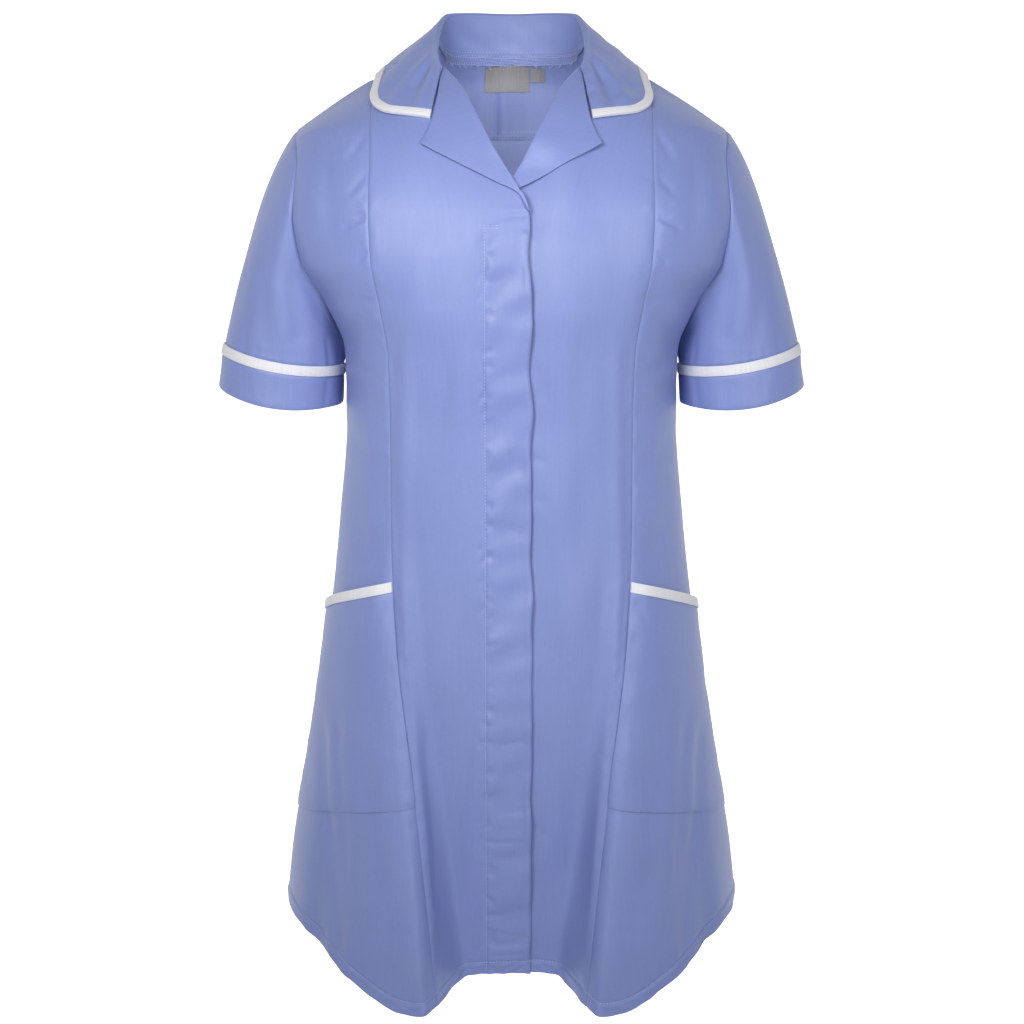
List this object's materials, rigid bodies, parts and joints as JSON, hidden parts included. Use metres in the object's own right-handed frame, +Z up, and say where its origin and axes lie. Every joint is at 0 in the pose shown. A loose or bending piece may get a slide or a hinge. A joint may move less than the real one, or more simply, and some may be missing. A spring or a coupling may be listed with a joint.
{
  "type": "work tunic",
  "caption": "Short-sleeved work tunic with notched collar, concealed front fastening, white tape edging and two side pockets, filled out as if worn.",
  "frame": {"origin": "middle of the neck, level with the neck points of the shoulders, where the wearer holds the tunic up", "axes": "+Z up towards the collar, the front faces -Y, the wearer's right is at -X"},
  "size_m": [0.5094, 0.3006, 0.83],
  "materials": {
    "blue_cloth": "satin",
    "white_tape": "matte",
    "grey_label": "satin",
    "pale_stud": "gloss"
  },
  "bodies": {
    "root": {"back": "blue_cloth", "back_yoke": "blue_cloth", "collar": "blue_cloth", "collar_tape": "white_tape", "front_stud_1": "pale_stud", "front_stud_2": "pale_stud", "front_stud_3": "pale_stud", "front_stud_4": "pale_stud", "front_stud_5": "pale_stud", "left_cuff": "blue_cloth", "left_cuff_tape": "white_tape", "left_front": "blue_cloth", "left_lapel": "blue_cloth", "left_pocket": "blue_cloth", "left_pocket_tape": "white_tape", "left_side_front": "blue_cloth", "left_sleeve": "blue_cloth", "neck_label": "grey_label", "right_cuff": "blue_cloth", "right_cuff_tape": "white_tape", "right_front": "blue_cloth", "right_lapel": "blue_cloth", "right_pocket": "blue_cloth", "right_pocket_tape": "white_tape", "right_side_front": "blue_cloth", "right_sleeve": "blue_cloth", "size_tab": "grey_label"}
  },
  "joints": []
}
